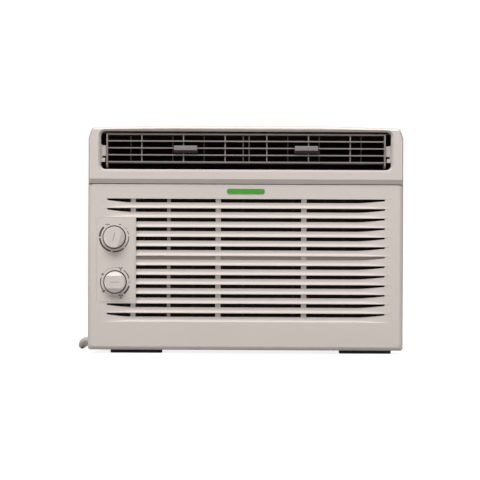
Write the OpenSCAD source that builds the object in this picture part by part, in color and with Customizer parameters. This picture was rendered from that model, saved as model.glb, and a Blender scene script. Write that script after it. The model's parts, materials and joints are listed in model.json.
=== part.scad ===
// Window air conditioner, mechanical controls, 450 mm wide.
// X runs to the right seen from the room, Y runs from the room to the outside, Z is up.
// The origin is under the middle of the body, on the surface that the feet stand on.

/* [Body] */
// Width of the front panel
panel_w = 450; // [440:1:460]
// Height of the front panel's top edge above the floor
panel_top = 326; // [322:1:330]
// Height of the rubber feet
foot_h = 6; // [5:0.5:6]
// Thickness of the sheet steel
sheet = 1.5; // [1.2:0.1:2]

/* [Air outlet] */
// Half width of the outlet opening
outlet_half_w = 207; // [205:1:208]
// Height of the louver's tilt axis
tilt_z = 290.5; // [290:0.5:291]
// Distance between the horizontal bars
bar_pitch = 9.9; // [9.5:0.1:10]

/* [Intake grille] */
// Distance between the slots
slot_pitch = 13.6; // [13:0.1:14]
// Height of one slot
slot_h = 5.4; // [4:0.1:6]
// Depth of the scoop under each slot
scoop_depth = 4.5; // [3:0.5:5]

/* [Controls] */
// Radius of a knob
knob_r = 15.3; // [14:0.1:16]
// Radius of a knob's shaft
spindle_r = 3; // [2.8:0.1:3]

/* [Cooling parts] */
// Radius of the blower wheel
wheel_r = 80; // [70:1:82]
// Number of blower blades
wheel_blades = 30; // [20:1:36]
// Radius of the condenser fan
fan_r = 102; // [90:1:103]
// Number of condenser fan blades
fan_blades = 5; // [3:1:6]

/* [Cord] */
// Diameter of the mains cord
cord_d = 9; // [8:0.5:9]

/* [Hidden] */
half_w = panel_w / 2;
face_y = -168;
door_y = -163;
door_back = -157;
door_top = 242.6;
door_low = 5.7;
band_low = 243.1;
band_high = 249.6;
outlet_low = 263.3;
outlet_high = 317.7;
frame_back = -110;
case_x = 216;
case_top = 318;
case_front = -119;
case_back = 165;
guard_back = 173.2;
hinge_y = -150;
hinge_z = 19;
tilt_y = -150;
insert_half_w = 199;
bar_t = 1.6;
bar_z = [for (k = [-2:2]) 3.3 + k * bar_pitch];
rib_x = [for (k = [0:5]) (k - 2.5) * 59.5];
tab_x = 86;
arm_x = 76;
vane_x = [60, 105, 165];
vane_axis = 10;
slot_count = 13;
blind_slot = 6;
top_slot_z = 218.9;
lip_h = 0.8;
grille_ribs = [
    [-160.5, 7, 50, 72], [-160.5, 7, 196, 224], [-109.7, 5, 50, 224], [-39.2, 7.5, 50, 224],
    [83.1, 7.5, 50, 224]
];
plate_x0 = -212;
plate_x1 = -158;
plate_z0 = 74;
plate_z1 = 194;
plate_gap = 0.6;
temp_at = [-187.3, 166.3];
mode_at = [-186, 102.4];
rotor_x = 20;
rotor_z = 132;
shaft_r = 4;
compressor_at = [-150, 54];
compressor_r = 47;
gland_from = [-216, -105, 16];
gland_to = [-228, -93, 16];
coil_at = [-130, 243];
coil_r = 50;
tube_sides = 10;
cord_route = [
    [-228, -93, 16], [-232, -88.5, 15.6], [-235.5, -83.4, 14.6], [-238.3, -78.1, 12.8],
    [-240.4, -72.4, 10.3], [-241.9, -66.5, 7.8], [-242.6, -60.4, 6], [-242.6, -54.4, 5],
    [-242.6, -48.3, 4.6], [-242.6, -38, 4.6], [-242.6, -20, 4.6], [-242.6, 20, 4.6],
    [-242.6, 80, 4.6], [-242.6, 140, 4.6], [-242.4, 175, 4.6], [-241.8, 196, 4.6],
    [-239.2, 217, 4.6], [-234, 238, 4.6], [-225, 257, 4.6], [-212, 273, 4.6],
    [-196, 285.5, 4.6], [-178, 293.5, 4.6], [-158, 298, 4.6], [-140, 301, 4.6]
];
tail_route = [
    [-76, 252, 12.4], [-73.5, 240, 12], [-69, 228, 10.6], [-61, 217, 8.4], [-50, 208, 6.4],
    [-36, 201.5, 5.4], [-20, 198, 5.2], [0, 196.5, 5.2]
];
plug_from = [0, 196.5, 5.2];

// ---- Shared shapes ----

// A box between two corners
module block(a, b) {
    translate(a) cube(b - a);
}

// A round bar along X, Y or Z
module bar_along_x(x0, x1, y, z, r) {
    translate([x0, y, z]) rotate([0, 90, 0]) cylinder(h = x1 - x0, r = r, $fn = 48);
}

module bar_along_y(y0, y1, x, z, r) {
    translate([x, y0, z]) rotate([-90, 0, 0]) cylinder(h = y1 - y0, r = r, $fn = 64);
}

module bar_along_z(z0, z1, x, y, r) {
    translate([x, y, z0]) cylinder(h = z1 - z0, r = r, $fn = 48);
}

// Corner points of a rectangle with rounded corners
function round_rect(x0, x1, z0, z1, r, n = 6) = [
    for (c = [[x1 - r, z1 - r, 0], [x0 + r, z1 - r, 90], [x0 + r, z0 + r, 180], [x1 - r, z0 + r, 270]])
        for (k = [0:n])
            [c[0] + r * cos(c[2] + 90 * k / n), c[1] + r * sin(c[2] + 90 * k / n)]
];

// An upright plate that faces the room, from y0 in front to y1 behind
module upright(y0, y1, x0, x1, z0, z1, r) {
    translate([0, y1, 0]) rotate([90, 0, 0]) linear_extrude(y1 - y0)
        polygon(round_rect(x0, x1, z0, z1, r));
}

// An outline in the Y-Z plane, extruded from x0 to x1
module along_x(x0, x1, points) {
    translate([x0, 0, 0]) rotate([90, 0, 90]) linear_extrude(x1 - x0) polygon(points);
}

// The same shape on both sides of the middle
module both_sides() {
    children();
    mirror([1, 0, 0]) children();
}

// A many-sided tube swept along a list of points
function unit(v) = v / norm(v);
function heading(p, k) = unit(p[min(k + 1, len(p) - 1)] - p[max(k - 1, 0)]);
function side_of(h) = unit(cross(h, abs(h[2]) > 0.9 ? [0, 1, 0] : [0, 0, 1]));
module swept_tube(p, r, sides) {
    rings = len(p);
    points = [
        for (k = [0:rings - 1])
            for (s = [0:sides - 1])
                p[k] + r * cos(360 * s / sides) * side_of(heading(p, k))
                     + r * sin(360 * s / sides) * cross(side_of(heading(p, k)), heading(p, k))
    ];
    walls = [
        for (k = [0:rings - 2])
            for (s = [0:sides - 1])
                [k * sides + s, k * sides + (s + 1) % sides,
                 (k + 1) * sides + (s + 1) % sides, (k + 1) * sides + s]
    ];
    first_end = [[for (s = [sides - 1:-1:0]) s]];
    last_end = [[for (s = [0:sides - 1]) (rings - 1) * sides + s]];
    polyhedron(points = points, faces = concat(walls, first_end, last_end), convexity = 8);
}

// ---- Base, case and outside shell ----

drain_at = [60, 140];
drain_r = 6.5;
side_screw_y = [-60, 40, 140];
side_screw_z = 18;
curtain_z = [90, 240];
curtain_y = -50;
rail_hole_x = 150;
rail_hole_y = -92;
hole_r = 2.2;

module base_pan() {
    color("lightgray") difference() {
        union() {
            difference() {
                block([-214, -130, foot_h], [214, 164, 26]);
                block([-212.4, -128.4, foot_h + 1.6], [212.4, 162.4, 27]);
            }
            bar_along_z(foot_h, 12, drain_at[0], drain_at[1], drain_r + 2.5);
            for (a = [0, 120, 240])
                translate([compressor_at[0] + 44 * cos(a), compressor_at[1] + 44 * sin(a), foot_h])
                    cylinder(h = 8, r = 9, $fn = 40);
        }
        bar_along_z(foot_h - 1, 13, drain_at[0], drain_at[1], drain_r);
        for (y = side_screw_y)
            bar_along_x(-220, 220, y, side_screw_z, hole_r);
        bar_along_x(-220, -205, gland_from[1], gland_from[2], 0.01 + cord_d / 2);
    }
}

module foot(x0, y0) {
    translate([x0, y0, 0]) linear_extrude(foot_h) polygon(round_rect(0, 74, 0, 24, 3));
}

module front_feet() {
    color("dimgray") {
        foot(-194, -138);
        foot(136, -138);
    }
}

module rear_feet() {
    color("dimgray") {
        foot(-194, 130);
        foot(120, 130);
    }
}

module case_shell() {
    side_slots = [for (k = [0:13]) 62 + k * 15];
    top_slots = [for (k = [0:7]) -160 + k * 44];
    color("gainsboro") difference() {
        block([-case_x, case_front, 10], [case_x, case_back, case_top]);
        block([-case_x + sheet, case_front - 1, 9], [case_x - sheet, case_back + 1, case_top - sheet]);
        for (z = side_slots) {
            block([-case_x - 1, 30, z], [case_x + 1, 78, z + 4]);
            block([-case_x - 1, 90, z], [case_x + 1, 138, z + 4]);
        }
        for (x = top_slots)
            for (y = [40, 60, 80])
                block([x, y, case_top - 5], [x + 30, y + 5, case_top + 1]);
        for (y = side_screw_y)
            bar_along_x(-220, 220, y, side_screw_z, hole_r);
        for (z = [70, 270])
            bar_along_x(-230, 230, -114, z, hole_r);
        for (z = curtain_z)
            bar_along_x(-220, 220, curtain_y, z, hole_r);
        for (x = [-rail_hole_x, rail_hole_x])
            bar_along_z(case_top - 5, case_top + 1, x, rail_hole_y, hole_r);
        bar_along_x(-220, -205, gland_from[1], gland_from[2], 8.5);
    }
}

// A cross-head screw along X with its head at the outside
module side_screw(y, z, outer_x, length) {
    difference() {
        union() {
            bar_along_x(outer_x, outer_x + 2.2, y, z, 4);
            bar_along_x(outer_x - length, outer_x, y, z, 1.9);
        }
        block([outer_x + 1.2, y - 2.6, z - 0.5], [outer_x + 3, y + 2.6, z + 0.5]);
        block([outer_x + 1.2, y - 0.5, z - 2.6], [outer_x + 3, y + 0.5, z + 2.6]);
    }
}

module case_screws() {
    color("silver") both_sides()
        for (y = side_screw_y)
            side_screw(y, side_screw_z, case_x, 9);
}

module frame_screws() {
    color("silver") both_sides()
        for (z = [70, 270])
            side_screw(-114, z, half_w - 2.4, 9);
}

module rear_guard() {
    bar_zs = [for (k = [0:16]) 32 + k * 16];
    color("lightgray") {
        difference() {
            upright(case_back + 1, guard_back, -case_x, case_x, foot_h, case_top, 8);
            difference() {
                upright(case_back, guard_back - sheet, -case_x + sheet, case_x - sheet,
                        foot_h + sheet, case_top - sheet, 6.5);
                upright(case_back - 1, guard_back, -201.5, 201.5, 24.5, 303.5, 7.5);
            }
            upright(case_back, guard_back + 1, -200, 200, 26, 302, 6);
            for (x = [-208, 208])
                for (z = [60, 270]) {
                    bar_along_y(case_back, guard_back + 1, x, z, hole_r);
                }
        }
        for (z = bar_zs)
            block([-201, 169, z], [201, 172, z + 3]);
        for (x = [-134, -67, 0, 67, 134])
            block([x - 2, 168, 25], [x + 2, 173, 303]);
    }
}

module guard_screws() {
    color("silver")
        for (x = [-208, 208])
            for (z = [60, 270])
                difference() {
                    union() {
                        bar_along_y(guard_back, guard_back + 1.8, x, z, 3.8);
                        bar_along_y(case_back + 1, guard_back, x, z, 1.9);
                    }
                    block([x - 2.4, guard_back + 1, z - 0.5], [x + 2.4, guard_back + 2, z + 0.5]);
                }
}

module bulkhead() {
    color("gainsboro") difference() {
        block([-212, -4, 8], [212, -3, 315]);
        bar_along_y(-6, 0, rotor_x, rotor_z, 16);
        bar_along_y(-6, 0, -101, 198.5, 9);
    }
}

// ---- Front frame and intake grille ----

pin_r = 2.5;
running_gap = 0.08;

// A slice of the hood over the grille: nearly square below, with a crowned top
crown_half = 110;

module hood_slice(y0, y1, half, z0, z1, r) {
    hull() {
        upright(y0, y1, -half, half, z0, z1 - 17, 1.2);
        upright(y0, y1, -half + 3.2, half - 3.2, z0, z1 - 2.6, r);
        upright(y0, y1, -crown_half, crown_half, z0, z1, r);
    }
}

module frame_face() {
    hull() {
        hood_slice(face_y, face_y + 0.5, 222.6, band_high, panel_top - 4, 4);
        hood_slice(door_y, door_y + 0.5, 224.2, band_low, panel_top - 1.2, 5);
        hood_slice(-156, -150, half_w, band_low, panel_top, 6);
    }
}

module front_frame() {
    rail_in = case_x + 0.5;
    color("gainsboro") difference() {
        union() {
            frame_face();
            hood_slice(-151, frame_back, half_w, band_low, panel_top, 6);
            both_sides() {
                block([rail_in, -156.5, hinge_z], [half_w, frame_back, band_low + 4]);
                block([rail_in, -133, door_low], [half_w, frame_back, hinge_z + 1]);
                block([196.5, -134, 8], [204.5, -130.3, 24.5]);
                block([196.5, -154.5, 14.5], [204.5, -134, 23.5]);
            }
            block([-half_w, -132.5, door_low + 0.5], [half_w, -130.3, 16]);
        }
        upright(face_y - 1, -149, -outlet_half_w, outlet_half_w, outlet_low, outlet_high, 7);
        hull() {
            upright(face_y - 0.6, face_y, -outlet_half_w - 3, outlet_half_w + 3,
                    outlet_low - 3, outlet_high + 3, 10);
            upright(face_y + 3.5, face_y + 4, -outlet_half_w, outlet_half_w,
                    outlet_low, outlet_high, 7);
        }
        block([-210, -150, 260], [210, frame_back + 1, outlet_high]);
        block([-222, -160, band_low + 3], [222, frame_back + 1, 256.5]);
        block([rail_in - 1, -142.5, 31], [half_w + 1, -133.5, 235]);
        both_sides()
            bar_along_x(195, 206, hinge_y, hinge_z, pin_r + running_gap);
        block([-case_x - 0.3, case_front - 0.5, 5], [case_x + 0.3, frame_back + 1, case_top + 0.3]);
        for (z = [70, 270]) {
            bar_along_x(-230, 230, -114, z, hole_r);
            both_sides()
                bar_along_x(half_w - 2.4, half_w + 1, -114, z, 4.2);
        }
        block([-half_w - 1, -118, 9], [-case_x, frame_back + 1, 24]);
    }
}

// Material taken away for one slot and for the scoop below it
module slot_cut(k, x0, x1, back_y) {
    slot_top = top_slot_z - k * slot_pitch + slot_h / 2;
    slot_bottom = slot_top - slot_h;
    scoop_h = slot_bottom - slot_top + slot_pitch - lip_h;
    scoop = [
        for (a = [0:15:90])
            [door_y + scoop_depth * cos(a), slot_bottom - scoop_h * sin(a)]
    ];
    along_x(x0, x1, concat([[door_y - 1, slot_top], [back_y, slot_top],
        [back_y, slot_bottom]], scoop, [[door_y - 1, slot_bottom - scoop_h]]));
}

module intake_grille() {
    left_end = -197;
    right_end = 197;
    inner_left = -156;
    color("gainsboro") {
        grille_front(left_end, right_end, inner_left);
        for (rib = grille_ribs)
            block([rib[0] - rib[1] / 2, door_back - 1.6, rib[2]],
                  [rib[0] + rib[1] / 2, door_back, rib[3]]);
    }
}

module grille_front(left_end, right_end, inner_left) {
    difference() {
        union() {
            hull() {
                upright(door_y, door_y + 0.4, -219, 219, door_low + 5, door_top - 0.4, 5);
                upright(door_y + 5, door_back, -half_w, half_w, door_low, door_top, 3);
            }
            both_sides() {
                block([205, door_back - 0.5, 14], [211, hinge_y + 4.5, 24]);
                bar_along_x(196, 206, hinge_y, hinge_z, pin_r);
            }
        }
        upright(door_y - 2, hinge_y, plate_x0 - plate_gap, plate_x1 + plate_gap,
                plate_z0 - plate_gap, plate_z1 + plate_gap, 3);
        for (k = [0:slot_count - 1])
            slot_cut(k, (k < 2 || k > 10) ? left_end : inner_left, right_end,
                     k == blind_slot ? door_y + scoop_depth + 0.2 : door_back + 1);
    }
}

module filter_guides() {
    color("gainsboro")
        for (z = [[25.5, 33.5], [232.5, 240.5]])
            difference() {
                block([-153, -145, z[0]], [case_x, -131, z[1]]);
                block([-154, -142, 30.5], [case_x + 1, -134, 235.5]);
            }
}

module filter_frame() {
    color("gray") difference() {
        union() {
            block([-151, -140.5, 31.5], [224, -135.5, 234.5]);
            block([219, -142, 31.8], [224, -134, 234.2]);
        }
        for (k = [0:4])
            for (z = [[37, 130], [135.5, 229]])
                block([-145 + k * 72, -143, z[0]], [-78 + k * 72, -133, z[1]]);
        block([221, -143, 120], [226, -140, 146]);
    }
}

module filter_mesh() {
    color("darkslategray")
        for (k = [0:4])
            for (z = [[37, 130], [135.5, 229]])
                block([-145 + k * 72, -138.6, z[0]], [-78 + k * 72, -137.4, z[1]]);
}

// ---- Controls ----

recess_y = -161.4;
knob_base = -162.6;
knob_h = 12.4;

module control_plate() {
    color("gainsboro") difference() {
        union() {
            upright(door_y, -160.5, plate_x0, plate_x1, plate_z0, plate_z1, 2.5);
            upright(-161, -156, plate_x0 + 3, plate_x1 - 3, plate_z0 + 3, plate_z1 - 3, 2);
        }
        upright(-160.5, -155, plate_x0 + 5, plate_x1 - 5, plate_z0 + 5, plate_z1 - 5, 2);
        for (c = [temp_at, mode_at]) {
            bar_along_y(-170, -150, c[0], c[1], 4.2);
            bar_along_y(-170, recess_y, c[0], c[1], knob_r + 1.5);
        }
    }
}

module knob(c, angle) {
    scoop_r = 22;
    scoop_x = 22;
    scoop_floor = 8.2;
    translate([c[0], knob_base, c[1]]) rotate([90, 0, 0]) rotate([0, 0, angle]) difference() {
        union() {
            cylinder(h = 4, r = knob_r, $fn = 96);
            translate([0, 0, 3.9]) cylinder(h = knob_h - 3.9, r = knob_r - 0.7, $fn = 96);
        }
        for (side = [-1, 1])
            translate([side * scoop_x, 0, scoop_floor + scoop_r]) rotate([90, 0, 0])
                cylinder(h = 40, r = scoop_r, center = true, $fn = 96);
        translate([0, 0, -1]) cylinder(h = 6, r = spindle_r, $fn = 48);
        translate([-0.5, -1, knob_h - 0.5]) cube([1, 8, 1]);
    }
}

module temp_knob() {
    color("gainsboro") knob(temp_at, -17);
}

module mode_knob() {
    color("gainsboro") knob(mode_at, -90);
}

module spindle(c) {
    bar_along_y(knob_base - 4.9, -130, c[0], c[1], spindle_r);
}

module temp_spindle() {
    color("silver") spindle(temp_at);
}

module mode_spindle() {
    color("silver") spindle(mode_at);
}

module control_box() {
    color("lightgray") difference() {
        block([plate_x0, -155.9, plate_z0], [plate_x1, -62, 200]);
        block([plate_x0 + 1.5, -156.5, plate_z0 + 1.5], [plate_x1 - 1.5, -63.5, 198.5]);
        bar_along_x(plate_x1 - 3, plate_x1 + 1, -75, 84, 6);
    }
}

// A switch body with a running bore for its spindle
module switch_body(c, w, h, y1) {
    difference() {
        union() {
            block([c[0] - w / 2, -150, c[1] - h / 2], [c[0] + w / 2, y1, c[1] + h / 2]);
            for (x = [-8, 0, 8])
                block([c[0] + x - 3, y1 - 1, c[1] - 6], [c[0] + x + 3, y1 + 7, c[1] - 5.2]);
        }
        bar_along_y(-151, -129, c[0], c[1], spindle_r + running_gap);
    }
}

module thermostat() {
    color("silver") switch_body(temp_at, 32, 40, -118);
}

module mode_switch() {
    color("black") switch_body(mode_at, 30, 30, -122);
}

module run_capacitor() {
    color("silver") {
        bar_along_z(80, 138, -186, -84, 16);
        for (x = [-193, -179])
            block([x - 3, -84.4, 137.5], [x + 3, -83.6, 146]);
    }
}

// Bundled leads from the switches down to the base
module wiring_loom() {
    color("firebrick") {
        swept_tube([[-190, -110, 160], [-194, -109, 150], [-196, -108, 136], [-196, -108, 118],
            [-194, -109, 106], [-190, -110, 97]], 3, 8);
        swept_tube([[-172, -110, 97], [-168, -98, 92], [-166, -86, 87], [-163, -78, 84.5],
            [-156, -75, 84], [-150, -74.6, 78], [-149, -74, 60], [-152, -74, 42],
            [-164, -76, 28], [-182, -84, 18], [-200, -95, 16], [-206, -99, 16]], 3, 8);
    }
}

module badge() {
    color("green") upright(door_y - 1.2, door_y, -27, 27, 229, 236, 3);
}

// ---- Tilting louver with sideways vanes ----

bar_front = -14;
bar_back = -2.5;
rail_depth = 12;
upper_rail = 22;
lower_rail = -18.2;
vane_pin_r = 1;

// Moves a shape from the louver's own axis to its place in the front frame
module at_tilt_axis() {
    translate([0, tilt_y, tilt_z]) children();
}

module louver_frame() {
    rails = [[upper_rail, upper_rail + bar_t], [lower_rail, lower_rail + bar_t]];
    color("gray") at_tilt_axis() difference() {
        union() {
            for (z = bar_z)
                block([-insert_half_w, max(bar_front, -sqrt(26 * 26 - z * z) + 0.4), z - bar_t / 2],
                      [insert_half_w, bar_back, z + bar_t / 2]);
            for (r = rails)
                block([-insert_half_w, -11, r[0]], [insert_half_w, rail_depth, r[1]]);
            for (x = rib_x)
                block([x - 0.8, -11, lower_rail], [x + 0.8, bar_back, upper_rail + bar_t]);
            for (x = [-4, 4.4])
                block([x - 0.9, bar_back - 0.5, lower_rail], [x + 0.9, 6, upper_rail + bar_t]);
            block([-4, -1, -7.4], [4.4, 5, -5.8]);
            both_sides() {
                intersection() {
                    bar_along_x(insert_half_w - 2, insert_half_w, 0, 0, 26);
                    block([190, -15, lower_rail - 7], [210, rail_depth, upper_rail + bar_t]);
                }
                bar_along_x(insert_half_w - 1, insert_half_w + 6.5, 0, 0, 3);
            }
        }
        for (s = [-1, 1])
            for (x = vane_x)
                bar_along_z(lower_rail - 1, upper_rail + 3, s * x, vane_axis, vane_pin_r + running_gap);
    }
}

module louver_pivots() {
    color("gray") both_sides() at_tilt_axis() difference() {
        union() {
            block([200, -8, -8], [outlet_half_w, 8, 7]);
            block([201, -9, -16.5], [outlet_half_w, -3, -11]);
            block([outlet_half_w - 1.5, -8, -17], [outlet_half_w, 8, 8]);
        }
        bar_along_x(199, 207, 0, 0, 3 + running_gap);
    }
}

// A grip tab, the arm behind it and the link bar that turns its vanes
link_z = [2.8, 4.8];
link_reach = [50, 176];

module vane_tab(side) {
    grip_w = 33;
    grip_z = 1;
    grip_side = [[bar_front - 0.3, 5.5], [-19.3, 5.5], [-20.5, 4.5], [-20.5, -1],
                 [bar_front - 0.3, -5]];
    middle = side * tab_x;
    color("silver") at_tilt_axis() difference() {
        union() {
            along_x(middle - grip_w / 2, middle + grip_w / 2, [for (q = grip_side) q + [0, grip_z]]);
            block([side * arm_x - 2, -15, 4.4], [side * arm_x + 2, 0, 6]);
            block([min(side * link_reach[0], side * link_reach[1]), -2.3, link_z[0]],
                  [max(side * link_reach[0], side * link_reach[1]), 5.5, link_z[1]]);
        }
        for (x = vane_x)
            block([side * x - 2.4, -1.3, link_z[0] - 1], [side * x + 2.4, 6, link_z[1] + 0.8]);
    }
}

module vane(x) {
    color("dimgray") at_tilt_axis() {
        difference() {
            block([x - 0.7, -1.2, lower_rail + bar_t + 0.4], [x + 0.7, 13.5, upper_rail - 0.4]);
            block([x - 2, -2, link_z[0] - 2.2], [x + 2, 7.2, link_z[1] + 2.2]);
        }
        bar_along_z(link_z[0] - 4, link_z[1] + 4, x, 0, 0.9);
        bar_along_z(lower_rail + 0.2, upper_rail + bar_t - 0.2, x, vane_axis, vane_pin_r);
    }
}

module tab_left() { vane_tab(-1); }
module tab_right() { vane_tab(1); }
module vane_left_1() { vane(-vane_x[2]); }
module vane_left_2() { vane(-vane_x[1]); }
module vane_left_3() { vane(-vane_x[0]); }
module vane_right_1() { vane(vane_x[0]); }
module vane_right_2() { vane(vane_x[1]); }
module vane_right_3() { vane(vane_x[2]); }

// ---- Air path and cooling parts ----

duct_low = 252;

module outlet_duct() {
    wall = 3;
    color("whitesmoke") difference() {
        union() {
            block([-213, frame_back + 0.5, duct_low], [213, -8, 311]);
            block([-213, frame_back + 0.5, 300], [213, frame_back + 3, case_top - sheet - 0.3]);
        }
        block([-213 + wall, frame_back - 1, duct_low + wall], [213 - wall, -8 - wall, 311 - wall]);
        block([rotor_x - 60, housing_y[0] + wall, duct_low - 1],
              [rotor_x + wheel_r + 9, housing_y[1] - wall, duct_low + wall + 1]);
    }
}

evap_x = [-150, 200];
evap_y = [-107, -80];
evap_z = [16, 236];

// A fin pack: upright fins that stand out of both faces of a thin core
module fin_pack(xr, yr, zr, pitch, fin) {
    core = 3;
    middle = (yr[0] + yr[1]) / 2;
    count = floor((xr[1] - xr[0] - fin) / pitch);
    translate([0, 0, zr[0]]) linear_extrude(zr[1] - zr[0]) {
        translate([xr[0], middle - core / 2]) square([xr[1] - xr[0], core]);
        for (k = [0:count])
            translate([xr[0] + pitch * k, yr[0]]) square([fin, yr[1] - yr[0]]);
    }
}

module evaporator() {
    color("silver") fin_pack(evap_x, evap_y, evap_z, 6, 1.3);
}

// The U-bends that stand out of one end of a fin pack
module bend_row(x, side, y, zs) {
    for (z = zs)
        translate([x, y, z]) rotate([0, 90 * side, 0]) rotate([90, 0, 0])
            rotate_extrude(angle = 180, $fn = 48)
                translate([8, 0]) circle(r = 3.4, $fn = 24);
}

module evaporator_bends() {
    color("peru") {
        bend_row(evap_x[1], 1, -93.5, [for (k = [0:5]) 36 + k * 36]);
    }
}

housing_y = [-72, -10];

module blower_housing() {
    wall = 3;
    scroll_r = wheel_r + 9;
    y0 = housing_y[0];
    y1 = housing_y[1];
    color("whitesmoke") difference() {
        union() {
            bar_along_y(y0, y1, rotor_x, rotor_z, scroll_r + wall);
            block([rotor_x - 63, y0, rotor_z], [rotor_x + scroll_r + wall, y1, duct_low]);
            for (x = [-40, 60])
                block([rotor_x + x - 12, y0, foot_h + 1.8], [rotor_x + x - 8, y1, rotor_z - 70]);
        }
        bar_along_y(y0 + wall, y1 - wall, rotor_x, rotor_z, scroll_r);
        block([rotor_x - 60, y0 + wall, rotor_z], [rotor_x + scroll_r, y1 - wall, duct_low + 1]);
        bar_along_y(y0 - 1, y0 + wall + 1, rotor_x, rotor_z, 62);
        bar_along_y(y1 - wall - 1, y1 + 1, rotor_x, rotor_z, 16);
    }
}

module blower_wheel() {
    color("dimgray") translate([rotor_x, -64, rotor_z]) rotate([-90, 0, 0]) difference() {
        union() {
            cylinder(h = 2, r = wheel_r, $fn = 96);
            translate([0, 0, 44]) cylinder(h = 3, r = wheel_r, $fn = 96);
            translate([0, 0, 30]) cylinder(h = 16, r = 12, $fn = 48);
            for (k = [0:wheel_blades - 1])
                rotate([0, 0, k * 360 / wheel_blades]) translate([wheel_r - 12, 0, 1])
                    rotate([0, 0, 38]) translate([-1, -0.8, 0]) cube([13, 1.6, 44]);
        }
        translate([0, 0, -1]) cylinder(h = 4, r = wheel_r - 14, $fn = 96);
        translate([0, 0, -1]) cylinder(h = 50, r = shaft_r, $fn = 48);
    }
}

module motor_shaft() {
    color("silver") bar_along_y(-50, 101, rotor_x, rotor_z, shaft_r);
}

motor_y = [14, 66];
motor_r = 41;

module motor() {
    color("lightslategray") difference() {
        union() {
            bar_along_y(motor_y[0] + 6, motor_y[1] - 6, rotor_x, rotor_z, motor_r);
            bar_along_y(motor_y[0], motor_y[1], rotor_x, rotor_z, 24);
        }
        bar_along_y(motor_y[0] - 1, motor_y[1] + 1, rotor_x, rotor_z, shaft_r + running_gap);
    }
}

module motor_bracket() {
    color("silver") difference() {
        union() {
            block([rotor_x - 52, -2.6, rotor_z - 52], [rotor_x + 52, -0.6, rotor_z + 52]);
            for (x = [-48, 44])
                block([rotor_x + x, -2.6, rotor_z - 10], [rotor_x + x + 4, 56, rotor_z + 10]);
            block([rotor_x - 52, 38, 7.8], [rotor_x + 52, 42, rotor_z - 30]);
        }
        bar_along_y(-10, 80, rotor_x, rotor_z, motor_r + 0.3);
    }
}

module condenser_fan() {
    color("dimgray") translate([rotor_x, 80, rotor_z]) rotate([-90, 0, 0]) difference() {
        union() {
            cylinder(h = 22, r = 18, $fn = 64);
            for (k = [0:fan_blades - 1])
                rotate([0, 0, k * 360 / fan_blades]) translate([14, 0, 11]) rotate([28, 0, 0])
                    translate([0, -20, -1]) linear_extrude(2)
                        polygon([[0, 4], [30, -6], [fan_r - 17, -2], [fan_r - 15, 24],
                                 [fan_r - 20, 44], [40, 40], [0, 30]]);
            difference() {
                translate([0, 0, 6]) cylinder(h = 8, r = fan_r, $fn = 96);
                translate([0, 0, 5]) cylinder(h = 10, r = fan_r - 3, $fn = 96);
            }
        }
        translate([0, 0, -1]) cylinder(h = 24, r = shaft_r, $fn = 48);
    }
}

module fan_shroud() {
    color("gainsboro") difference() {
        union() {
            block([-212, 108, 8.2], [212, 109, 300]);
            bar_along_y(94, 109, rotor_x, rotor_z, 108.5);
        }
        bar_along_y(90, 120, rotor_x, rotor_z, 107);
        bar_along_y(100, 115, -196, 192, 8);
    }
}

cond_x = [-200, 200];
cond_y = [124, 156];
cond_z = [14, 298];

module condenser() {
    color("silver") fin_pack(cond_x, cond_y, cond_z, 5, 1.1);
}

module condenser_bends() {
    color("peru") {
        bend_row(cond_x[0], -1, 132, [for (k = [0:6]) 40 + k * 38]);
        bend_row(cond_x[0], -1, 148, [for (k = [0:6]) 40 + k * 38]);
    }
}

module compressor() {
    color("black") translate([compressor_at[0], compressor_at[1], 0]) difference() {
        union() {
            translate([0, 0, 30]) cylinder(h = 140, r = compressor_r, $fn = 96);
            translate([0, 0, 170]) cylinder(h = 12, r1 = compressor_r, r2 = 34, $fn = 96);
            translate([0, 0, 182]) cylinder(h = 6, r = 16, $fn = 64);
            translate([0, 0, 24]) cylinder(h = 4, r = 54, $fn = 3);
            translate([0, 0, 24]) cylinder(h = 8, r = 38, $fn = 64);
        }
        for (a = [0, 120, 240])
            translate([44 * cos(a), 44 * sin(a), 20]) cylinder(h = 9, r = 4.5, $fn = 32);
    }
}

module compressor_mounts() {
    color("dimgray") translate([compressor_at[0], compressor_at[1], 0])
        for (a = [0, 120, 240])
            translate([44 * cos(a), 44 * sin(a), foot_h + 8]) {
                cylinder(h = 10, r = 8, $fn = 40);
                translate([0, 0, 9]) cylinder(h = 6, r = 4.3, $fn = 32);
            }
}

module accumulator() {
    color("black") {
        bar_along_z(70, 150, -92, -18 + 34, 13);
        block([-108, 20, 100], [-98, 28, 106]);
    }
}

module copper_pipes() {
    color("peru") {
        swept_tube([[-150, 54, 188], [-150, 54, 212], [-154, 60, 224], [-164, 72, 230],
            [-178, 84, 228], [-189, 92, 216], [-194, 98, 202], [-196, 106, 193],
            [-196, 116, 189.5], [-196, 123.9, 189]], 4, 10);
        swept_tube([[-92, 16, 150], [-92, 16, 180], [-94, 10, 192], [-100, -2, 198],
            [-106, -16, 200], [-116, -34, 200], [-126, -52, 200], [-134, -66, 200],
            [-137, -74, 200], [-138, -79.9, 200]], 4, 10);
    }
}

module capillary_tube() {
    color("peru") swept_tube([
        for (a = [0:20:1440])
            [-120 + 16 * cos(a), -34 + 16 * sin(a), 150 + a / 80]
    ], 1.3, 6);
}

// ---- Mains cord, its gland, its coil and its plug ----

module cord_gland() {
    dir = gland_to - gland_from;
    color("silver") translate(gland_from) rotate([0, -90, -45]) union() {
        translate([0, 0, -4]) cylinder(h = 5, r = 8, $fn = 48);
        translate([0, 0, 0.9]) cylinder(h = norm(dir) - 0.9, r1 = 7, r2 = 0.6 + cord_d / 2, $fn = 48);
    }
}

module power_cord() {
    color("silver") swept_tube(cord_route, cord_d / 2, tube_sides);
}

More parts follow.
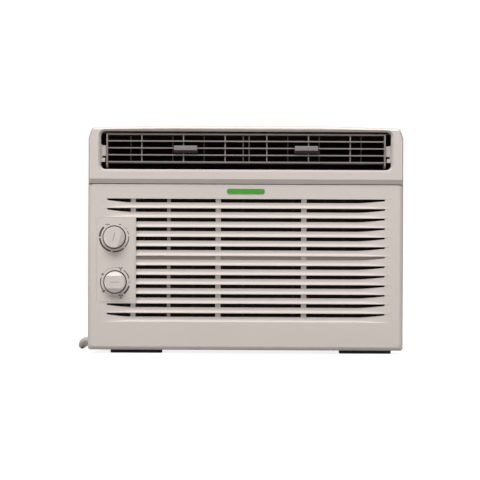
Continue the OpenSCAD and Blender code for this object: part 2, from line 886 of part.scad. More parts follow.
module cord_coil() {
    color("silver") translate([coil_at[0], coil_at[1], 0.1]) rotate_extrude($fn = 96)
        translate([coil_r - 1.5 * cord_d, 0]) square([3 * cord_d, 16.8]);
}

module cord_tail() {
    color("silver") swept_tube(tail_route, cord_d / 2, tube_sides);
}

plug_l = 34;

module plug_body() {
    color("silver") translate(plug_from) {
        hull() {
            block([0, -6, -4.4], [4, 6, 6]);
            block([14, -13, -5], [plug_l, 13, 17]);
        }
    }
}

module plug_pins() {
    color("gold") translate(plug_from) {
        for (y = [-6.35, 6.35])
            block([plug_l, y - 0.75, 6], [plug_l + 17, y + 0.75, 12.3]);
        bar_along_x(plug_l, plug_l + 20, 0, 0.5, 2.4);
    }
}

base_pan();
front_feet();
rear_feet();
case_shell();
case_screws();
rear_guard();
guard_screws();
bulkhead();
front_frame();
frame_screws();
intake_grille();
filter_guides();
filter_frame();
filter_mesh();
control_plate();
temp_knob();
temp_spindle();
mode_knob();
mode_spindle();
badge();
louver_frame();
louver_pivots();
tab_left();
tab_right();
vane_left_1();
vane_left_2();
vane_left_3();
vane_right_1();
vane_right_2();
vane_right_3();
outlet_duct();
evaporator();
evaporator_bends();
blower_housing();
blower_wheel();
motor();
motor_bracket();
motor_shaft();
condenser_fan();
fan_shroud();
condenser();
condenser_bends();
compressor();
compressor_mounts();
accumulator();
copper_pipes();
capillary_tube();
control_box();
thermostat();
mode_switch();
run_capacitor();
wiring_loom();
cord_gland();
power_cord();
cord_coil();
cord_tail();
plug_body();
plug_pins();
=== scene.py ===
"""Window air conditioner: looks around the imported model."""
import json
from math import cos, pi, radians, sin

import bmesh
import bpy
from mathutils import Matrix, Vector


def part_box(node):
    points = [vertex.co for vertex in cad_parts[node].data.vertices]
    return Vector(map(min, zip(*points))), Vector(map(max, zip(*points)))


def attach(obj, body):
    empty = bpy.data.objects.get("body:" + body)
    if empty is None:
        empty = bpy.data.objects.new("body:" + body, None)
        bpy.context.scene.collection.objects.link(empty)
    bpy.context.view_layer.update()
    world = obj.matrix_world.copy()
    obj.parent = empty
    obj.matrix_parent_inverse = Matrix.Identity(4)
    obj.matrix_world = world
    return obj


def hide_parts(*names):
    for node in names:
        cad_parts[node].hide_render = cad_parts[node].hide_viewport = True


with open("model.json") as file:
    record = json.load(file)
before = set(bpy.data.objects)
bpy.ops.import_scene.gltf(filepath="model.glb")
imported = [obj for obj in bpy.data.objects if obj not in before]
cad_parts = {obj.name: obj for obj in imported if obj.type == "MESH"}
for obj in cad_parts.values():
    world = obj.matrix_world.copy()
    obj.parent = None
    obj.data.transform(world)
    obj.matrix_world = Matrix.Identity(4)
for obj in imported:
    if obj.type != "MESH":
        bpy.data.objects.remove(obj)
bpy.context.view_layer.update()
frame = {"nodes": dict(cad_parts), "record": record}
MM = 0.001
scene = bpy.context.scene

# ---- Camera, as the photo was taken: square on, level with the panel's middle ----

VIEW_WIDTH = 0.6845
CAMERA_DISTANCE = 2.5
PANEL_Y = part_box("intake_grille")[0].y
SENSOR = 36.0
CAMERA_X, CAMERA_Z = -0.008, 0.163
CAMERA_ROLL = -0.25


def make_camera():
    data = bpy.data.cameras.new("camera")
    data.sensor_width = SENSOR
    data.lens = SENSOR * CAMERA_DISTANCE / VIEW_WIDTH
    camera = bpy.data.objects.new("camera", data)
    scene.collection.objects.link(camera)
    camera.location = (CAMERA_X, PANEL_Y - CAMERA_DISTANCE, CAMERA_Z)
    camera.rotation_euler = (radians(90), radians(CAMERA_ROLL), 0)
    scene.camera = camera


make_camera()

# ---- Materials ----


def node_setup(name):
    material = bpy.data.materials.new(name)
    material.use_nodes = True
    tree = material.node_tree
    return material, tree, tree.nodes["Principled BSDF"]


def add(tree, kind, **values):
    node = tree.nodes.new(kind)
    for key, value in values.items():
        if hasattr(node, key):
            setattr(node, key, value)
        else:
            node.inputs[key].default_value = value
    return node


def shade(color, factor):
    return tuple(min(1.0, c * factor) for c in color) + (1.0,)


def surface(name, color, rough, spread=0.05, scale=9.0, grain=1400.0, grain_depth=0.04,
            metal=0.0, coat=0.0, specular=0.5):
    """A moulded, painted or plated surface: soft colour drift, uneven gloss and a fine grain."""
    material, tree, shader = node_setup(name)
    link = tree.links.new
    place = add(tree, "ShaderNodeTexCoord")
    drift = add(tree, "ShaderNodeTexNoise", Scale=scale, Detail=4.0, Roughness=0.55)
    link(place.outputs["Object"], drift.inputs["Vector"])
    tone = add(tree, "ShaderNodeValToRGB")
    tone.color_ramp.elements[0].position = 0.3
    tone.color_ramp.elements[0].color = shade(color, 1 - spread)
    tone.color_ramp.elements[1].position = 0.7
    tone.color_ramp.elements[1].color = shade(color, 1 + spread)
    link(drift.outputs["Fac"], tone.inputs["Fac"])
    link(tone.outputs["Color"], shader.inputs["Base Color"])
    gloss = add(tree, "ShaderNodeMapRange")
    gloss.inputs["To Min"].default_value = max(0.02, rough - 0.07)
    gloss.inputs["To Max"].default_value = min(1.0, rough + 0.07)
    smudge = add(tree, "ShaderNodeTexNoise", Scale=scale * 6, Detail=3.0)
    link(place.outputs["Object"], smudge.inputs["Vector"])
    link(smudge.outputs["Fac"], gloss.inputs["Value"])
    link(gloss.outputs["Result"], shader.inputs["Roughness"])
    fine = add(tree, "ShaderNodeTexNoise", Scale=grain, Detail=2.0)
    link(place.outputs["Object"], fine.inputs["Vector"])
    bump = add(tree, "ShaderNodeBump", Strength=grain_depth, Distance=0.0004)
    link(fine.outputs["Fac"], bump.inputs["Height"])
    link(bump.outputs["Normal"], shader.inputs["Normal"])
    shader.inputs["Metallic"].default_value = metal
    shader.inputs["Coat Weight"].default_value = coat
    shader.inputs["Coat Roughness"].default_value = 0.15
    shader.inputs["Specular IOR Level"].default_value = specular
    return material


def net_surface(name, color, pitch):
    """A woven net: crossed bands raised over darker gaps."""
    material, tree, shader = node_setup(name)
    link = tree.links.new
    place = add(tree, "ShaderNodeTexCoord")
    bands = []
    for direction in ("X", "Z"):
        wave = add(tree, "ShaderNodeTexWave", Scale=1 / pitch / 6.283 * 2)
        wave.wave_type = "BANDS"
        wave.bands_direction = direction
        link(place.outputs["Object"], wave.inputs["Vector"])
        bands.append(wave)
    both = add(tree, "ShaderNodeMath", operation="MAXIMUM")
    link(bands[0].outputs["Fac"], both.inputs[0])
    link(bands[1].outputs["Fac"], both.inputs[1])
    tone = add(tree, "ShaderNodeValToRGB")
    tone.color_ramp.elements[0].position = 0.6
    tone.color_ramp.elements[0].color = shade(color, 0.3)
    tone.color_ramp.elements[1].position = 0.9
    tone.color_ramp.elements[1].color = shade(color, 1.2)
    link(both.outputs["Value"], tone.inputs["Fac"])
    link(tone.outputs["Color"], shader.inputs["Base Color"])
    bump = add(tree, "ShaderNodeBump", Strength=0.4, Distance=0.0005)
    link(both.outputs["Value"], bump.inputs["Height"])
    link(bump.outputs["Normal"], shader.inputs["Normal"])
    shader.inputs["Roughness"].default_value = 0.8
    return material


LOOKS = {
    "galvanised_pan": dict(color=(0.42, 0.43, 0.43), rough=0.42, metal=0.9, spread=0.16,
                           scale=60.0, grain_depth=0.03),
    "case_paint": dict(color=(0.53, 0.49, 0.455), rough=0.42, spread=0.03, grain=900.0,
                       grain_depth=0.10),
    "rubber_feet": dict(color=(0.10, 0.085, 0.092), rough=0.75, spread=0.2, grain_depth=0.15),
    "screw_steel": dict(color=(0.55, 0.55, 0.54), rough=0.3, metal=1.0, spread=0.08, scale=80.0),
    "panel_plastic": dict(color=(0.595, 0.533, 0.494), rough=0.34, spread=0.018, scale=5.0,
                          grain_depth=0.03),
    "control_plastic": dict(color=(0.595, 0.535, 0.498), rough=0.36, spread=0.015, scale=7.0,
                            grain_depth=0.03),
    "knob_plastic": dict(color=(0.595, 0.537, 0.502), rough=0.30, spread=0.02, scale=20.0,
                         grain_depth=0.02),
    "louver_plastic": dict(color=(0.250, 0.213, 0.200), rough=0.45, spread=0.06, scale=14.0,
                           grain_depth=0.05),
    "tab_plastic": dict(color=(0.225, 0.190, 0.188), rough=0.42, spread=0.05, scale=30.0,
                        grain_depth=0.05),
    "vane_plastic": dict(color=(0.13, 0.10, 0.085), rough=0.6, spread=0.2, grain_depth=0.06),
    "guide_plastic": dict(color=(0.020, 0.015, 0.013), rough=0.6, spread=0.2, grain_depth=0.06),
    "badge_green": dict(color=(0.045, 0.30, 0.012), rough=0.3, spread=0.05, scale=40.0,
                        coat=0.3),
    "foam": dict(color=(0.014, 0.010, 0.009), rough=0.85, spread=0.25, scale=40.0,
                 grain=500.0, grain_depth=0.5),
    "fins": dict(color=(0.42, 0.43, 0.44), rough=0.4, metal=0.9, spread=0.12, scale=30.0),
    "copper": dict(color=(0.62, 0.27, 0.14), rough=0.33, metal=1.0, spread=0.18, scale=30.0),
    "fan_plastic": dict(color=(0.020, 0.020, 0.022), rough=0.5, spread=0.15, grain_depth=0.1),
    "motor_paint": dict(color=(0.13, 0.14, 0.16), rough=0.4, spread=0.1, scale=25.0),
    "compressor_paint": dict(color=(0.012, 0.012, 0.012), rough=0.28, spread=0.2, coat=0.2),
    "switch_metal": dict(color=(0.50, 0.50, 0.48), rough=0.35, metal=1.0, spread=0.08),
    "switch_black": dict(color=(0.012, 0.012, 0.012), rough=0.5, spread=0.15),
    "wire_red": dict(color=(0.30, 0.02, 0.015), rough=0.45, spread=0.1, scale=50.0),
    "cord_pvc": dict(color=(0.72, 0.65, 0.59), rough=0.42, spread=0.03, scale=40.0,
                     grain_depth=0.06),
    "pin_brass": dict(color=(0.72, 0.54, 0.25), rough=0.25, metal=1.0, spread=0.08, scale=60.0),
}
SLOT_OF = {part["node"]: part["material_slot"] for part in frame["record"]["subparts"]}
BODY_OF = {node: body for body, nodes in frame["record"]["behaviour"]["bodies"].items()
           for node in nodes}
materials = {name: surface(name + "_look", **look) for name, look in LOOKS.items()}
materials["filter_net"] = net_surface("filter_net_look", (0.020, 0.014, 0.012), 0.0016)
materials["dial_print"] = surface("dial_print_look", (0.060, 0.048, 0.050), 0.5, spread=0.08,
                                  scale=60.0)
# Panel plastic darkened as painted shade, for the closed slot's backing strip and one rib.
materials["shaded_plastic"] = surface("shaded_plastic_look", (0.33, 0.285, 0.25), 0.5)
materials["box_steel"] = surface("box_steel_look", (0.10, 0.095, 0.09), 0.5, metal=0.4)
materials["pointer_print"] = surface("pointer_print_look", (0.30, 0.27, 0.26), 0.5)


# ---- Building pieces ----


def new_object(name, mesh, body, slot, material=None):
    piece = bpy.data.objects.new(name, mesh)
    scene.collection.objects.link(piece)
    mesh.materials.clear()
    mesh.materials.append(material or materials[slot])
    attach(piece, body)
    return piece


def soften(mesh, angle=35):
    mesh.polygons.foreach_set("use_smooth", [True] * len(mesh.polygons))
    mesh.set_sharp_from_angle(angle=radians(angle))


def apply_modifiers(piece):
    bpy.context.view_layer.update()
    graph = bpy.context.evaluated_depsgraph_get()
    mesh = bpy.data.meshes.new_from_object(piece.evaluated_get(graph))
    piece.modifiers.clear()
    piece.data = mesh


def even_shading(piece):
    """Lets the large flat faces keep their own normals, so that only the rounded edges blend."""
    modifier = piece.modifiers.new("normals", "WEIGHTED_NORMAL")
    modifier.keep_sharp = True
    modifier.weight = 100
    apply_modifiers(piece)


def eased(node, width, segments=2, angle=28):
    """A copy of a CAD node with its sharp edges eased by a small radius, in its node's place."""
    mesh = frame["nodes"][node].data.copy()
    mesh.name = node + "_eased"
    bm = bmesh.new()
    bm.from_mesh(mesh)
    bmesh.ops.remove_doubles(bm, verts=bm.verts, dist=2e-6)
    bmesh.ops.dissolve_limit(bm, angle_limit=radians(0.6), verts=bm.verts, edges=bm.edges)
    sharp = [e for e in bm.edges if e.is_manifold and e.calc_face_angle(0) > radians(angle)]
    if width > 0:
        bmesh.ops.bevel(bm, geom=sharp, offset=width, segments=segments, profile=0.6,
                        affect="EDGES", clamp_overlap=True)
    bmesh.ops.recalc_face_normals(bm, faces=bm.faces)
    bm.to_mesh(mesh)
    bm.free()
    soften(mesh)
    piece = new_object(node + "_shown", mesh, BODY_OF[node], SLOT_OF[node])
    even_shading(piece)
    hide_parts(node)
    return piece


# ---- Mains cord: one lead from the gland to the plug ----

# Points in mm, the same as in part.scad. A winding is (radius, height).
CORD_D = 0.009
ROUTE = [
    (-228, -93, 16), (-232, -88.5, 15.6), (-235.5, -83.4, 14.6), (-238.3, -78.1, 12.8),
    (-240.4, -72.4, 10.3), (-241.9, -66.5, 7.8), (-242.6, -60.4, 6), (-242.6, -54.4, 5),
    (-242.6, -48.3, 4.6), (-242.6, -38, 4.6), (-242.6, -20, 4.6), (-242.6, 20, 4.6),
    (-242.6, 80, 4.6), (-242.6, 140, 4.6), (-242.4, 175, 4.6), (-241.8, 196, 4.6),
    (-239.2, 217, 4.6), (-234, 238, 4.6), (-225, 257, 4.6), (-212, 273, 4.6),
    (-196, 285.5, 4.6), (-178, 293.5, 4.6), (-158, 298, 4.6),
]
TAIL = [
    (-73.5, 240, 12.4), (-69, 228, 10.8), (-61, 217, 8.4), (-50, 208, 6.4),
    (-36, 201.5, 5.4), (-20, 198, 5.2), (0, 196.5, 5.2),
]
COIL_CENTRE = (-130, 243)
COIL_START, COIL_END = 100.0, 9.5
WINDINGS = [(59.0, 4.6), (50.0, 4.6), (41.0, 4.6), (45.5, 12.4), (54.5, 12.4)]
CHANGE = 70.0
TURN_POINTS = 24


def eased_step(t):
    t = max(0.0, min(1.0, t))
    return t * t * (3 - 2 * t)


def coil_points():
    """Flat turns side by side, then a second layer in the grooves between them."""
    points = []
    total = COIL_START - COIL_END + 360.0 * (len(WINDINGS) - 1)
    steps = int(total / 360 * TURN_POINTS)
    for k in range(steps + 1):
        turned = total * k / steps
        lap = min(int(turned // 360), len(WINDINGS) - 1)
        r, z = WINDINGS[lap]
        into = turned - lap * 360
        if lap < len(WINDINGS) - 1 and into > 360 - CHANGE:
            t = eased_step((into - (360 - CHANGE)) / CHANGE)
            r2, z2 = WINDINGS[lap + 1]
            r, z = r + (r2 - r) * t, z + (z2 - z) * t
        a = radians(COIL_START - turned)
        points.append((COIL_CENTRE[0] + r * cos(a), COIL_CENTRE[1] + r * sin(a), z))
    return points


def smooth_points(points, per_span=4):
    """Catmull-Rom points through a list of points."""
    result = []
    p = [Vector(q) for q in points]
    for k in range(len(p) - 1):
        a, b, c, d = p[max(k - 1, 0)], p[k], p[k + 1], p[min(k + 2, len(p) - 1)]
        for s in range(per_span):
            t = s / per_span
            result.append(0.5 * ((2 * b) + (c - a) * t + (2 * a - 5 * b + 4 * c - d) * t * t
                                 + (3 * b - a - 3 * c + d) * t ** 3))
    result.append(p[-1])
    return result


def tube_mesh(name, path, radius, sides=14):
    """A closed tube along a path, with frames carried along it so that it doesn't twist."""
    bm = bmesh.new()
    rings = []
    across = Vector((0, 0, 1))
    for k, point in enumerate(path):
        ahead = (path[min(k + 1, len(path) - 1)] - path[max(k - 1, 0)]).normalized()
        across = (across - ahead * across.dot(ahead)).normalized()
        other = ahead.cross(across)
        rings.append([bm.verts.new(point + radius * (cos(2 * pi * s / sides) * across
                                                     + sin(2 * pi * s / sides) * other))
                      for s in range(sides)])
    for a, b in zip(rings, rings[1:]):
        for s in range(sides):
            bm.faces.new((a[s], a[(s + 1) % sides], b[(s + 1) % sides], b[s]))
    bm.faces.new(rings[0][::-1])
    bm.faces.new(rings[-1])
    bmesh.ops.recalc_face_normals(bm, faces=bm.faces)
    mesh = bpy.data.meshes.new(name)
    bm.to_mesh(mesh)
    bm.free()
    soften(mesh, 50)
    return mesh


def make_cord():
    path = [p * MM for p in smooth_points(ROUTE + coil_points() + TAIL)]
    cord = new_object("mains_cord", tube_mesh("mains_cord", path, CORD_D / 2), "housing",
                      "cord_pvc")
    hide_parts("power_cord", "cord_coil", "cord_tail")
    plug = eased("plug_body", 0.0022, segments=4, angle=20)
    pins = eased("plug_pins", 0.0003)


make_cord()

# ---- Intake grille: a slab with scooped slots that fade out at their ends ----

SLOT_PITCH = 13.6
TOP_SLOT_Z = 218.9
SLOT_H = 5.4
LIP_H = 0.8
SCOOP_DEPTH = 4.5
LIP_ROLL = 0.62
LIP_ANGLES = (0, 20, 35, 47, 57, 66, 74, 81, 86, 90)
BLIND_SLOT = 6
SLOT_COUNT = 13
grille_low, grille_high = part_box("intake_grille")
plate_low, plate_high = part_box("control_plate")
FACE_Y = grille_low.y / MM
BACK_Y = FACE_Y + 6
SLOT_RIGHT, FADE_RIGHT = 198.6, 210.0
SLOT_LEFT, FADE_LEFT = -197.5, -203.5
FULL_FROM, FULL_TO = -163.0, 158.0
# A rib is (x, width, bottom, top), in mm.
RIBS = ((-160.5, 7.0, 50, 72), (-160.5, 7.0, 196, 224), (-39.2, 7.5, 50, 224),
        (83.1, 7.5, 50, 224))
# This rib is drawn darker than the others, as painted shade.
DARK_RIB = (-109.7, 5.0, 50, 224)
HINGE = (-150.0, 19.0)
PIN_R = 0.0025
PIN_X, PIN_LENGTH = 201.5, 11
EAR_FROM, EAR_TO = 205, 211
PLATE_SEAM = 0.15
FULL_SLOTS = range(2, 11)
PAST_PLATE = 1.6


def rounded_ring(x0, x1, z0, z1, r, steps=5):
    corners = [(x1 - r, z1 - r, 0), (x0 + r, z1 - r, 90), (x0 + r, z0 + r, 180),
               (x1 - r, z0 + r, 270)]
    return [(cx + r * cos(radians(a + 90 * k / steps)), cz + r * sin(radians(a + 90 * k / steps)))
            for cx, cz, a in corners for k in range(steps + 1)]


def loft(bm, rings):
    """Joins closed rings of equal length and caps both ends."""
    made = [[bm.verts.new(Vector(p) * MM) for p in ring] for ring in rings]
    for a, b in zip(made, made[1:]):
        for k in range(len(a)):
            j = (k + 1) % len(a)
            bm.faces.new((a[k], a[j], b[j], b[k]))
    bm.faces.new(made[0][::-1])
    bm.faces.new(made[-1])


def mesh_of(name, build):
    bm = bmesh.new()
    build(bm)
    bmesh.ops.recalc_face_normals(bm, faces=bm.faces)
    mesh = bpy.data.meshes.new(name)
    bm.to_mesh(mesh)
    bm.free()
    return mesh


def grille_slab(bm):
    """Front face with a rolled edge all round and a crisp top."""
    x1 = grille_high.x / MM
    z0, z1 = 5.7, grille_high.z / MM
    rings = []
    for back, inset, r in ((0.0, 6.6, 4.0), (0.3, 5.2, 4.6), (1.1, 3.4, 5.0), (2.4, 1.8, 5.0),
                           (3.9, 0.6, 4.6), (5.0, 0.0, 4.0), (6.0, 0.0, 4.0)):
        ring = rounded_ring(-x1 + inset, x1 - inset, z0 + inset * 0.9, z1 - inset * 0.12, r)
        rings.append([(x, FACE_Y + back, z) for x, z in ring])
    loft(bm, rings)


def end_factor(x, full):
    """1 along the slot, falling to 0 where its ends have faded into the face."""
    right = 1 - eased_step((x - FULL_TO) / (FADE_RIGHT - FULL_TO))
    left = 1 if full else 1 - eased_step((FULL_FROM - x) / (FULL_FROM - FADE_LEFT))
    return min(right, left)


def slot_height(x, full):
    right = max(0.0, (x - FULL_TO) / (SLOT_RIGHT - FULL_TO))
    left = 0.0 if full else max(0.0, (FULL_FROM - x) / (FULL_FROM - SLOT_LEFT))
    return SLOT_H * (1 - 0.55 * min(1.0, max(right, left)) ** 1.5)


def spaced(start, end, count):
    """Even steps from start, without the end itself."""
    return [start + (end - start) * k / count for k in range(count)]


def slot_stations(left, right, full):
    """Where a slot's outline is set out along its length: closely where it fades."""
    xs = spaced(left, FULL_TO, 4) if full else \
        spaced(left, FULL_FROM, 8) + spaced(FULL_FROM, FULL_TO, 4)
    return xs + spaced(FULL_TO, right, 10) + [right]


def scoop_cutter(bm, k, full, left):
    top = TOP_SLOT_Z - k * SLOT_PITCH + SLOT_H / 2
    lip = top - SLOT_PITCH + LIP_H
    rings = []
    for x in slot_stations(left, FADE_RIGHT, full):
        depth = max(0.03, SCOOP_DEPTH * end_factor(x, full))
        low = top - slot_height(x, full)
        arc = [(x, FACE_Y + depth * max(0.0, cos(radians(a))) ** LIP_ROLL,
                low - (low - lip) * sin(radians(a))) for a in LIP_ANGLES]
        rings.append([(x, FACE_Y - 1, top), (x, FACE_Y + depth, top)] + arc
                     + [(x, FACE_Y - 1, lip)])
    loft(bm, rings)


def through_cutter(bm, k, full, left, back):
    top = TOP_SLOT_Z - k * SLOT_PITCH + SLOT_H / 2
    rings = []
    for x in slot_stations(left, SLOT_RIGHT, full):
        low = top - slot_height(x, full)
        rings.append([(x, FACE_Y - 1.2, top - 0.02), (x, back, top - 0.02), (x, back, low),
                      (x, FACE_Y - 1.2, low)])
    loft(bm, rings)


def cut(target, build):
    cutter = bpy.data.objects.new("cutter", mesh_of("cutter", build))
    scene.collection.objects.link(cutter)
    modifier = target.modifiers.new("cut", "BOOLEAN")
    modifier.operation = "DIFFERENCE"
    modifier.solver = "EXACT"
    modifier.use_self = False
    modifier.object = cutter
    apply_modifiers(target)
    bpy.data.objects.remove(cutter)


def add_box(bm, low, high):
    verts = [bm.verts.new(Vector((x, y, z)) * MM) for x in (low[0], high[0])
             for y in (low[1], high[1]) for z in (low[2], high[2])]
    for face in ((0, 1, 3, 2), (4, 6, 7, 5), (0, 4, 5, 1), (2, 3, 7, 6), (0, 2, 6, 4),
                 (1, 5, 7, 3)):
        bm.faces.new([verts[i] for i in face])


def make_grille():
    mesh = mesh_of("grille_front", grille_slab)
    grille = new_object("grille_front", mesh, "grille_door", "panel_plastic")
    low, high = plate_low / MM, plate_high / MM

    def window(bm):
        ring = rounded_ring(low.x - PLATE_SEAM, high.x + PLATE_SEAM, low.z - PLATE_SEAM,
                            high.z + PLATE_SEAM, 3.0)
        loft(bm, [[(x, y, z) for x, z in ring] for y in (FACE_Y - 2, BACK_Y + 1)])

    def scoops(bm):
        for k in range(SLOT_COUNT):
            full = k in FULL_SLOTS
            scoop_cutter(bm, k, full, high.x + PAST_PLATE if full else FADE_LEFT)

    def slots(bm):
        for k in range(SLOT_COUNT):
            full = k in FULL_SLOTS
            left = high.x + PAST_PLATE if full else SLOT_LEFT
            through_cutter(bm, k, full, left, BACK_Y + 1)

    cut(grille, window)
    cut(grille, scoops)
    cut(grille, slots)

    bm = bmesh.new()
    bm.from_mesh(grille.data)
    bmesh.ops.remove_doubles(bm, verts=bm.verts, dist=1e-6)
    for x, width, z0, z1 in RIBS:
        add_box(bm, (x - width / 2, BACK_Y - 1.6, z0), (x + width / 2, BACK_Y + 0.01, z1))
    for side in (-1, 1):
        xs = sorted((side * EAR_FROM, side * EAR_TO))
        add_box(bm, (xs[0], BACK_Y - 0.4, 14), (xs[1], BACK_Y + 10.5, 24))
        pin = Matrix.Translation(Vector((side * PIN_X, HINGE[0], HINGE[1])) * MM)
        across = pin @ Matrix.Rotation(radians(90), 4, "Y")
        bmesh.ops.create_cone(bm, cap_ends=True, segments=32, radius1=PIN_R, radius2=PIN_R,
                              depth=PIN_LENGTH * MM, matrix=across)
    bm.to_mesh(grille.data)
    bm.free()
    soften(grille.data, 32)
    even_shading(grille)

    # The closed slot's backing strip and one rib, both darkened as painted shade.
    def blind(bm):
        z = TOP_SLOT_Z - BLIND_SLOT * SLOT_PITCH
        add_box(bm, (high.x + 1, BACK_Y - 1.2, z - SLOT_H / 2 - 1),
                (SLOT_RIGHT, BACK_Y, z + SLOT_H / 2 + 1))
        x, width, z0, z1 = DARK_RIB
        add_box(bm, (x - width / 2, BACK_Y - 1.1, z0), (x + width / 2, BACK_Y - 0.1, z1))

    new_object("blind_strip", mesh_of("blind_strip", blind), "grille_door",
               "panel_plastic", materials["shaded_plastic"])
    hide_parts("intake_grille")


make_grille()


# ---- Printed marks round the knobs, and painted shade in the gap round each knob ----

PRINT_T = 0.12
RING_R = 20.7
GAP_OUTER_R, GAP_INNER_R = 17.1, 13.0
RECESS_FLOOR_Y = -161.4
POINTER_LENGTH, POINTER_WIDTH, POINTER_T = 12.4, 1.0, 0.6
POINTER_AHEAD = 0.5


def clock_point(centre, r, degrees):
    return (centre[0] + r * sin(radians(degrees)), centre[1] + r * cos(radians(degrees)))


def print_shape(bm, outline):
    face_y = plate_low.y / MM
    loft(bm, [[(x, y, z) for x, z in outline] for y in (face_y - PRINT_T, face_y + 0.05)])


def print_arc(bm, centre, r, start, end, width0, width1):
    steps = max(4, int(abs(end - start) / 5))
    outer, inner = [], []
    for k in range(steps + 1):
        t = k / steps
        a, half = start + (end - start) * t, (width0 + (width1 - width0) * t) / 2
        outer.append(clock_point(centre, r + half, a))
        inner.append(clock_point(centre, r - half, a))
    print_shape(bm, outer + inner[::-1])


def print_ring(bm, centre, r, width):
    for half in (0, 180):
        print_arc(bm, centre, r, half + 0.5, half + 179.5, width, width)


def bar_outline(centre, length, width, degrees, ahead=0.0):
    """A bar's four corners, lying along a clock direction and moved ahead in it."""
    a = radians(degrees)
    along, across = Vector((sin(a), cos(a))), Vector((cos(a), -sin(a)))
    middle = Vector(centre) + along * ahead
    return [tuple(middle + along * length / 2 * u + across * width / 2 * v)
            for u, v in ((1, 1), (1, -1), (-1, -1), (-1, 1))]


def print_bar(bm, centre, length, width, degrees):
    print_shape(bm, bar_outline(centre, length, width, degrees))


def print_flake(bm, centre, size):
    for k in range(3):
        print_bar(bm, centre, size, size * 0.12, 60 * k)


def print_fan(bm, centre, size):
    for k in range(3):
        tip = clock_point(centre, size * 0.3, 120 * k + 60)
        print_bar(bm, tip, size * 0.42, size * 0.24, 120 * k + 60)


def knob_centre(node):
    low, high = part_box(node)
    return ((low.x + high.x) / 2 / MM, (low.z + high.z) / 2 / MM)


def temp_marks(bm):
    c = knob_centre("temp_spindle")
    print_arc(bm, c, RING_R, 272, 314, 2.8, 2.6)
    print_arc(bm, c, RING_R, 194, 266, 2.2, 2.5)
    print_arc(bm, c, RING_R, 139, 187, 1.9, 2.1)
    print_arc(bm, c, RING_R, 86, 133, 1.2, 1.5)
    print_arc(bm, c, RING_R, 64, 79, 0.9, 1.0)
    print_arc(bm, c, RING_R, 46, 58, 0.45, 0.5)
    print_bar(bm, (c[0] - 9.5, c[1] + 18.2), 6.0, 0.9, 90)
    print_bar(bm, (c[0] + 8.2, c[1] + 18.2), 3.4, 0.9, 90)


def mode_marks(bm):
    c = knob_centre("mode_spindle")
    print_arc(bm, c, RING_R, 36, 76, 1.1, 1.6)
    print_arc(bm, c, RING_R, 104, 143, 2.2, 2.7)
    print_arc(bm, c, RING_R, 238, 288, 1.4, 1.1)
    print_arc(bm, c, RING_R, 315, 375, 0.2, 0.25)
    print_arc(bm, c, RING_R, 165, 225, 0.2, 0.25)
    print_fan(bm, clock_point(c, RING_R, 23), 6.0)
    print_flake(bm, clock_point(c, RING_R, 302), 4.4)
    print_flake(bm, clock_point(c, RING_R, 231), 6.2)
    print_fan(bm, clock_point(c, RING_R + 1, 157), 6.4)
    print_ring(bm, clock_point(c, RING_R + 1, 157), 3.4, 0.4)
    print_ring(bm, clock_point(c, RING_R, 90), 1.8, 0.35)


def knob_shadow_ring(bm):
    """Painted shade: a dark ring on the floor of the recess that each knob sits in, for the
    shadow in the gap round it.
    """
    for node in ("temp_spindle", "mode_spindle"):
        c = knob_centre(node)
        for start in (0, 180):
            turns = [start + 0.2 + 179.6 * k / 36 for k in range(37)]
            outer = [clock_point(c, GAP_OUTER_R, a) for a in turns]
            inner = [clock_point(c, GAP_INNER_R, a) for a in turns[::-1]]
            loft(bm, [[(x, y, z) for x, z in outer + inner]
                      for y in (RECESS_FLOOR_Y - PRINT_T, RECESS_FLOOR_Y + 0.05)])


def pointer(name, node, degrees):
    c = knob_centre(node)
    top_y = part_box(node.replace("spindle", "knob"))[0].y / MM

    def build(bm):
        outline = bar_outline(c, POINTER_LENGTH, POINTER_WIDTH, degrees, POINTER_AHEAD)
        loft(bm, [[(x, y, z) for x, z in outline] for y in (top_y, top_y + POINTER_T)])

    return new_object(name, mesh_of(name, build), BODY_OF[node], "knob_plastic",
                      materials["pointer_print"])


# The gap rings are painted shade in the print colour, standing for the shadow round each knob.
for name, build in (("temp_marks", temp_marks), ("mode_marks", mode_marks),
                    ("knob_gap_shade_rings", knob_shadow_ring)):
    new_object(name, mesh_of(name, build), "housing", "control_plastic",
               materials["dial_print"])
pointer("temp_pointer", "temp_spindle", 17)
pointer("mode_pointer", "mode_spindle", 90)

# ---- Painted shade: a near-black strip under each grip tab ----

TILT = (-150.0, 290.5)
TAB_X, TAB_HALF = 86.0, 16.2
UNDERSIDE = ((-20.6, -0.1), (-14.4, -4.15), (-14.4, -3.7), (-20.2, 0.1))


def tab_painted_shade(node):
    tab_x = TAB_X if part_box(node)[0].x > 0 else -TAB_X

    def build(bm):
        loft(bm, [[(tab_x + dx, TILT[0] + y, TILT[1] + z) for y, z in UNDERSIDE]
                  for dx in (-TAB_HALF, TAB_HALF)])

    # The strip is painted shade, coloured near black where the tab's underside lies in shadow.
    new_object(node + "_underside", mesh_of(node + "_underside", build), BODY_OF[node],
               "tab_plastic", materials["guide_plastic"])


tab_painted_shade("tab_left")
tab_painted_shade("tab_right")

# ---- Every other piece: visible nodes get eased edges, inner ones only their finish ----

EASED = {
    "front_frame": 0.0010, "control_plate": 0.00015, "temp_knob": 0.0005, "mode_knob": 0.0005,
    "badge": 0.0004, "louver_frame": 0.00025, "louver_pivots": 0.0002, "tab_left": 0.0008,
    "tab_right": 0.0008, "case_shell": 0.0004, "rear_guard": 0.0006, "base_pan": 0.0004,
    "front_feet": 0.0006, "rear_feet": 0.0006, "case_screws": 0.0003, "frame_screws": 0.0003,
    "guard_screws": 0.0003, "cord_gland": 0.0005, "filter_frame": 0.0002,
}
OTHER_LOOK = {"control_box": "box_steel"}
for node, width in EASED.items():
    eased(node, width)
replaced = {"intake_grille", "power_cord", "cord_coil", "cord_tail", "plug_body", "plug_pins"}
for node, cad in frame["nodes"].items():
    if node in EASED or node in replaced:
        continue
    cad.data.materials.clear()
    cad.data.materials.append(materials[OTHER_LOOK.get(node, SLOT_OF[node])])

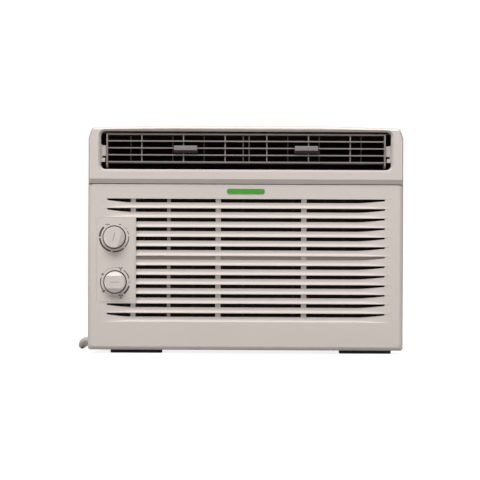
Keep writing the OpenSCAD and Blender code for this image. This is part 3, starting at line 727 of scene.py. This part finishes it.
# ---- Floor and light: floor and surroundings are white to the camera only ----

LIT_POINT = (0, 0, 0.16)
FLOOR_REACH = 30.0


def seen_white(tree, hidden, shown):
    """A strength that is one value to the camera and another one to everything else."""
    ray = add(tree, "ShaderNodeLightPath")
    mix = add(tree, "ShaderNodeMapRange")
    mix.inputs["To Min"].default_value = hidden
    mix.inputs["To Max"].default_value = shown
    tree.links.new(ray.outputs["Is Camera Ray"], mix.inputs["Value"])
    return mix.outputs["Result"]


def make_floor():
    mesh = bpy.data.meshes.new("floor")
    reach = FLOOR_REACH
    mesh.from_pydata([(-reach, -reach, 0), (reach, -reach, 0), (reach, reach, 0),
                      (-reach, reach, 0)], [], [(0, 1, 2, 3)])
    floor = bpy.data.objects.new("floor", mesh)
    scene.collection.objects.link(floor)
    material, tree, shader = node_setup("floor_look")
    shader.inputs["Base Color"].default_value = (0.42, 0.42, 0.42, 1)
    shader.inputs["Roughness"].default_value = 0.9
    shader.inputs["Specular IOR Level"].default_value = 0.1
    shader.inputs["Emission Color"].default_value = (1, 1, 1, 1)
    tree.links.new(seen_white(tree, 0.0, 0.86), shader.inputs["Emission Strength"])
    mesh.materials.append(material)


def area_light(name, place, size, power):
    data = bpy.data.lights.new(name, "AREA")
    data.shape = "RECTANGLE"
    data.size, data.size_y = size
    data.energy = power
    light = bpy.data.objects.new(name, data)
    scene.collection.objects.link(light)
    light.location = place
    direction = Vector(LIT_POINT) - Vector(place)
    light.rotation_euler = direction.to_track_quat("-Z", "Y").to_euler()


make_floor()
area_light("key", (-0.4, -1.5, 2.2), (2.2, 1.2), 66)
area_light("fill", (0.9, -2.6, 0.8), (1.6, 1.2), 7)
area_light("back", (0.3, 1.2, 2.0), (2.0, 1.4), 18)
world = bpy.data.worlds.new("studio")
world.use_nodes = True
sky = world.node_tree.nodes["Background"]
sky.inputs["Color"].default_value = (1, 1, 1, 1)
world.node_tree.links.new(seen_white(world.node_tree, 0.34, 1.05), sky.inputs["Strength"])
scene.world = world
scene.view_settings.view_transform = "Standard"
